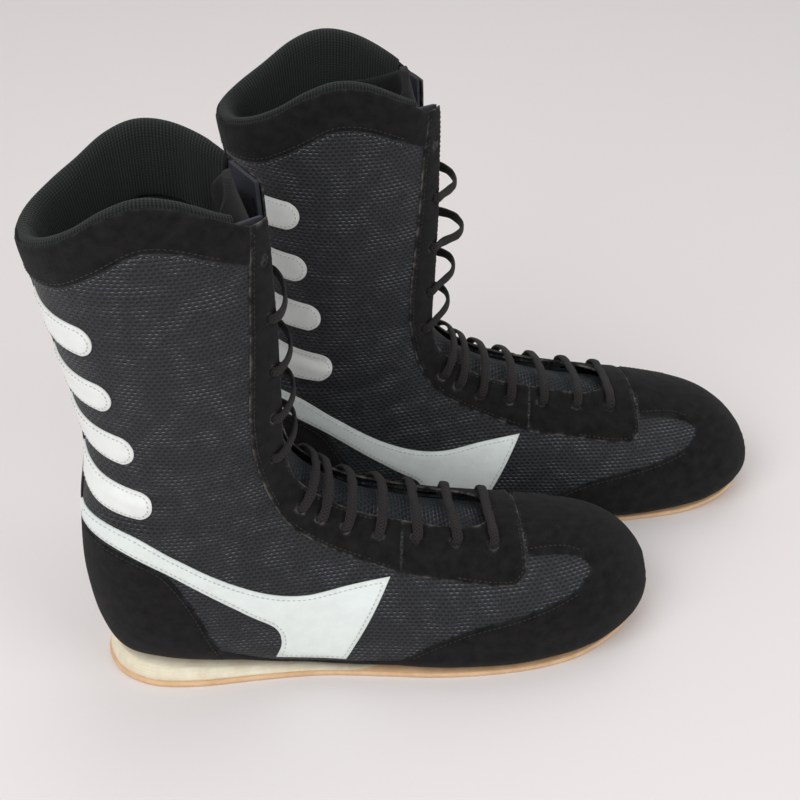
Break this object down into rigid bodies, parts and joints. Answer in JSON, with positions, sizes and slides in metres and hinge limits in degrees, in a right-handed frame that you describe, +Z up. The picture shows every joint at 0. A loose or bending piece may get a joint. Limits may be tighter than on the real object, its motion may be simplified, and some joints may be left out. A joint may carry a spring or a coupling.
{
  "type": "boxing boots",
  "caption": "Pair of high-top lace-up boxing boots: soft mesh shafts with suede overlays on thin flexible gum soles, toes pointing the same way.",
  "frame": {"origin": "centre of the pair's bounding box, at the height of the floor that the outsoles stand on", "axes": "+X towards the toes, +Z up, +Y from the right boot to the left boot; each boot is turned a few degrees about Z, as in a casual shop display"},
  "size_m": [0.3706, 0.236, 0.2782],
  "materials": {
    "mesh": "open honeycomb polyester mesh, black",
    "suede": "black suede, brushed",
    "synthetic": "smooth white synthetic leather, stitched near its edges",
    "knit": "dark ribbed knit lining",
    "board": "fibre board",
    "foam": "cream EVA foam",
    "gum": "tan gum rubber, fine texture",
    "lace": "flat braided black lace",
    "stiffener": "thermoplastic sheet",
    "padding": "soft foam"
  },
  "bodies": {
    "right_foot": {"right_eyestay_foot_inner": "suede", "right_eyestay_foot_outer": "suede", "right_footbed": "knit", "right_heel_counter": "suede", "right_heel_stiffener": "stiffener", "right_insole_board": "board", "right_lace_foot": "lace", "right_lining_foot": "knit", "right_mesh_quarter": "mesh", "right_midsole": "foam", "right_outsole": "gum", "right_rand_inner": "suede", "right_rand_outer": "suede", "right_stripe_inner": "synthetic", "right_stripe_outer": "synthetic", "right_throat_piece": "suede", "right_tongue_base": "knit"},
    "right_toe": {"right_outsole_toe": "gum", "right_footbed_toe": "knit", "right_mesh_vamp": "mesh", "right_toe_cap": "suede", "right_toe_puff": "stiffener"},
    "right_shaft": {"right_mesh_shaft": "mesh", "right_lining_shaft": "knit", "right_collar_band": "suede", "right_collar_padding": "padding", "right_eyestay_shaft_outer": "suede", "right_eyestay_shaft_inner": "suede", "right_lace_shaft": "lace"},
    "right_tongue_flap": {"right_tongue": "knit"},
    "left_foot": {"left_eyestay_foot_inner": "suede", "left_eyestay_foot_outer": "suede", "left_footbed": "knit", "left_heel_counter": "suede", "left_heel_stiffener": "stiffener", "left_insole_board": "board", "left_lace_foot": "lace", "left_lining_foot": "knit", "left_mesh_quarter": "mesh", "left_midsole": "foam", "left_outsole": "gum", "left_rand_inner": "suede", "left_rand_outer": "suede", "left_stripe_inner": "synthetic", "left_stripe_outer": "synthetic", "left_throat_piece": "suede", "left_tongue_base": "knit"},
    "left_toe": {"left_outsole_toe": "gum", "left_footbed_toe": "knit", "left_mesh_vamp": "mesh", "left_toe_cap": "suede", "left_toe_puff": "stiffener"},
    "left_shaft": {"left_mesh_shaft": "mesh", "left_lining_shaft": "knit", "left_collar_band": "suede", "left_collar_padding": "padding", "left_eyestay_shaft_outer": "suede", "left_eyestay_shaft_inner": "suede", "left_lace_shaft": "lace"},
    "left_tongue_flap": {"left_tongue": "knit"}
  },
  "joints": [
    {"name": "right_ankle_flex", "type": "hinge", "parent": "right_foot", "child": "right_shaft", "pos_m": [-0.12154, -0.0729, 0.097], "axis": [-0.1288, 0.9917, 0], "range_deg": [-8, 15], "stiffness_Nm_per_rad": 1.5},
    {"name": "right_toe_flex", "type": "hinge", "parent": "right_foot", "child": "right_toe", "pos_m": [0.03019, -0.0532, 0.0036], "axis": [0.1288, -0.9917, 0], "range_deg": [0, 20], "stiffness_Nm_per_rad": 3},
    {"name": "right_tongue_swing", "type": "hinge", "parent": "right_shaft", "child": "right_tongue_flap", "pos_m": [-0.08187, -0.06775, 0.124], "axis": [0.1288, -0.9917, 0], "range_deg": [0, 12]},
    {"name": "left_ankle_flex", "type": "hinge", "parent": "left_foot", "child": "left_shaft", "pos_m": [-0.05026, 0.04322, 0.097], "axis": [-0.1582, 0.9874, 0], "range_deg": [-10, 13], "stiffness_Nm_per_rad": 1.5},
    {"name": "left_toe_flex", "type": "hinge", "parent": "left_foot", "child": "left_toe", "pos_m": [0.10082, 0.06742, 0.0036], "axis": [0.1582, -0.9874, 0], "range_deg": [0, 20], "stiffness_Nm_per_rad": 3},
    {"name": "left_tongue_swing", "type": "hinge", "parent": "left_shaft", "child": "left_tongue_flap", "pos_m": [-0.00985, 0.0497, 0.12259], "axis": [0.1582, -0.9874, 0], "range_deg": [0, 12]},
    {"name": "left_boot_lift", "type": "slide", "parent": "right_foot", "child": "left_foot", "axis": [0, 0, 1], "range_m": [0, 0.35]}
  ]
}
